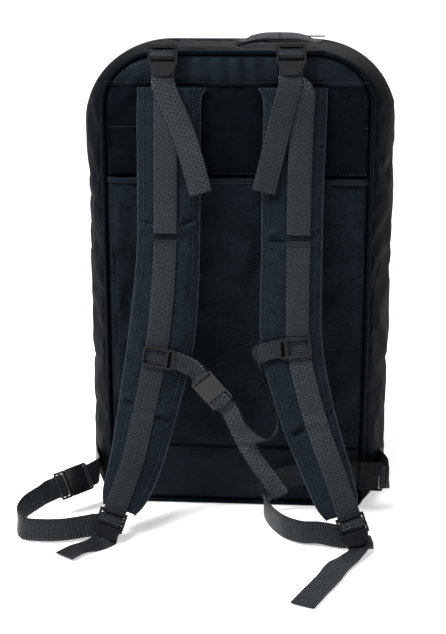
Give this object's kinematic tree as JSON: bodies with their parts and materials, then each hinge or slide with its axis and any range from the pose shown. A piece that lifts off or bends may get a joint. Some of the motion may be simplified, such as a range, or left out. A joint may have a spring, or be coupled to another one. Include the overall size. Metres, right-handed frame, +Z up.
{
  "type": "medical backpack",
  "caption": "Tall clamshell medical backpack with padded shoulder straps, sternum strap, side-release buckles, ladder locks, carry handle and a zipped front lid.",
  "frame": {"origin": "on the floor under the middle of the body, where the base rests", "axes": "+Z up, +X to the right seen from the strap side, +Y forward towards the opening front; the shoulder straps are on the -Y side"},
  "size_m": [0.4078, 0.4362, 0.5318],
  "materials": {
    "shell_nylon": "black coated nylon, fine plain weave, slight sheen",
    "dark_nylon": "darker woven nylon, matte",
    "strap_fabric": "woven nylon over foam, matte; the patch field is hook-and-loop",
    "webbing": "flat woven nylon webbing, ribbed along its length",
    "buckle_plastic": "moulded black acetal, satin",
    "zip": "zip tape with coil, and corded pulls",
    "lining": "grey lining cloth and mesh over foam",
    "frame_sheet": "black polyethylene sheet",
    "stay_aluminium": "bare flat bar"
  },
  "bodies": {
    "pack": {"rear_shell": "shell_nylon", "back_piping": "dark_nylon", "base_piping": "dark_nylon", "base_panel": "shell_nylon", "back_pad": "shell_nylon", "pad_binding": "dark_nylon", "stow_band": "dark_nylon", "yoke_panel": "shell_nylon", "frame_sheet": "frame_sheet", "stay_left": "stay_aluminium", "stay_right": "stay_aluminium", "divider_lower": "lining", "divider_upper": "lining", "rear_zip_tape": "zip", "lock_anchor_left": "webbing", "lock_anchor_right": "webbing", "side_anchor_left": "webbing", "side_anchor_right": "webbing", "side_buckle_female_left": "buckle_plastic", "side_buckle_female_right": "buckle_plastic", "lower_web_left": "webbing", "lower_web_right": "webbing", "lifter_web_left": "webbing", "lifter_web_right": "webbing"},
    "lid": {"lid_shell": "shell_nylon", "lid_piping": "dark_nylon", "lid_zip_tape": "zip", "lid_pocket": "shell_nylon", "pocket_zip": "zip", "patch_field": "strap_fabric", "mesh_pocket": "lining"},
    "pocket_runner": {"pocket_slider": "buckle_plastic"},
    "pocket_tab": {"pocket_pull": "zip"},
    "zip_runner_left": {"zip_slider_left": "buckle_plastic"},
    "zip_tab_left": {"zip_pull_left": "zip"},
    "zip_runner_right": {"zip_slider_right": "buckle_plastic"},
    "zip_tab_right": {"zip_pull_right": "zip"},
    "handle": {"carry_handle": "webbing"},
    "shoulder_left": {"strap_pad_left": "strap_fabric", "strap_web_left": "webbing", "adjuster_tail_left": "webbing"},
    "shoulder_right": {"strap_pad_right": "strap_fabric", "strap_web_right": "webbing", "adjuster_tail_right": "webbing"},
    "lock_left": {"top_lock_left": "buckle_plastic"},
    "lock_right": {"top_lock_right": "buckle_plastic"},
    "strap_end_left": {"adjuster_left": "buckle_plastic"},
    "strap_end_right": {"adjuster_right": "buckle_plastic"},
    "sternum_left": {"sternum_slider_left": "buckle_plastic", "sternum_web_left": "webbing", "sternum_buckle_female": "buckle_plastic"},
    "sternum_right": {"sternum_slider_right": "buckle_plastic", "sternum_fold_right": "webbing"},
    "sternum_plug": {"sternum_buckle_male": "buckle_plastic", "sternum_tail": "webbing", "sternum_loop": "webbing"},
    "side_plug_left": {"side_buckle_male_left": "buckle_plastic"},
    "side_plug_right": {"side_buckle_male_right": "buckle_plastic"}
  },
  "joints": [
    {"name": "lid_hinge", "type": "hinge", "parent": "pack", "child": "lid", "pos_m": [0, 0.07, 0.03], "axis": [-1, 0, 0], "range_deg": [0, 90]},
    {"name": "pocket_zip_slide", "type": "slide", "parent": "lid", "child": "pocket_runner", "axis": [1, 0, 0], "range_m": [-0.18, 0]},
    {"name": "pocket_pull_hinge", "type": "hinge", "parent": "pocket_runner", "child": "pocket_tab", "pos_m": [0.09, 0.0969, 0.318], "axis": [0, 0, 1], "range_deg": [0, 90]},
    {"name": "zip_slide_left", "type": "slide", "parent": "pack", "child": "zip_runner_left", "axis": [1, 0, 0], "range_m": [-0.105, 0]},
    {"name": "zip_pull_hinge_left", "type": "hinge", "parent": "zip_runner_left", "child": "zip_tab_left", "pos_m": [0.04, 0.01, 0.52135], "axis": [0, 1, 0], "range_deg": [0, 90]},
    {"name": "zip_slide_right", "type": "slide", "parent": "pack", "child": "zip_runner_right", "axis": [1, 0, 0], "range_m": [0, 0.009]},
    {"name": "zip_pull_hinge_right", "type": "hinge", "parent": "zip_runner_right", "child": "zip_tab_right", "pos_m": [0.062, 0.01, 0.52135], "axis": [0, -1, 0], "range_deg": [0, 90]},
    {"name": "handle_swing", "type": "hinge", "parent": "pack", "child": "handle", "pos_m": [0.043, -0.036, 0.51816], "axis": [1, 0, 0], "range_deg": [-30, 30], "deforming": ["carry_handle"]},
    {"name": "strap_swing_left", "type": "hinge", "parent": "pack", "child": "shoulder_left", "pos_m": [0, -0.0963, 0.475], "axis": [-1, 0, 0], "range_deg": [0, 18], "deforming": ["lifter_web_left", "lower_web_left"]},
    {"name": "strap_swing_right", "type": "hinge", "parent": "pack", "child": "shoulder_right", "pos_m": [0, -0.0963, 0.475], "axis": [-1, 0, 0], "range_deg": [0, 18], "deforming": ["lifter_web_right", "lower_web_right"]},
    {"name": "lock_tilt_left", "type": "hinge", "parent": "pack", "child": "lock_left", "pos_m": [-0.077, -0.1017, 0.519], "axis": [-1, 0, 0], "range_deg": [0, 30]},
    {"name": "strap_end_tilt_left", "type": "hinge", "parent": "shoulder_left", "child": "strap_end_left", "pos_m": [-0.12476, -0.19227, 0.03208], "axis": [-0.9549, 0.1356, 0.2643], "range_deg": [0, 20], "deforming": ["adjuster_tail_left"]},
    {"name": "lock_tilt_right", "type": "hinge", "parent": "pack", "child": "lock_right", "pos_m": [0.057, -0.1017, 0.5205], "axis": [-1, 0, 0], "range_deg": [0, 30]},
    {"name": "strap_end_tilt_right", "type": "hinge", "parent": "shoulder_right", "child": "strap_end_right", "pos_m": [0.1261, -0.19157, 0.03345], "axis": [-0.9402, -0.1555, -0.303], "range_deg": [0, 20], "deforming": ["adjuster_tail_right"]},
    {"name": "sternum_slide_left", "type": "slide", "parent": "shoulder_left", "child": "sternum_left", "axis": [0.1679, 0.1444, 0.9752], "range_m": [-0.012, 0.012]},
    {"name": "sternum_slide_right", "type": "slide", "parent": "shoulder_right", "child": "sternum_right", "axis": [-0.1249, 0.1411, 0.9821], "range_m": [-0.012, 0.012]},
    {"name": "sternum_release", "type": "slide", "parent": "sternum_left", "child": "sternum_plug", "axis": [0.6428, 0, -0.766], "range_m": [0, 0.02], "deforming": ["sternum_loop"]},
    {"name": "side_release_left", "type": "slide", "parent": "pack", "child": "side_plug_left", "axis": [-0.8085, -0.5659, -0.1617], "range_m": [0, 0.02]},
    {"name": "side_release_right", "type": "slide", "parent": "pack", "child": "side_plug_right", "axis": [-0.9996, 0, 0.03], "range_m": [0, 0.02]}
  ],
  "couplings": [
    {"joint": "strap_swing_right", "follows": "strap_swing_left", "ratio": 1},
    {"joint": "sternum_slide_right", "follows": "sternum_slide_left", "ratio": 1}
  ]
}
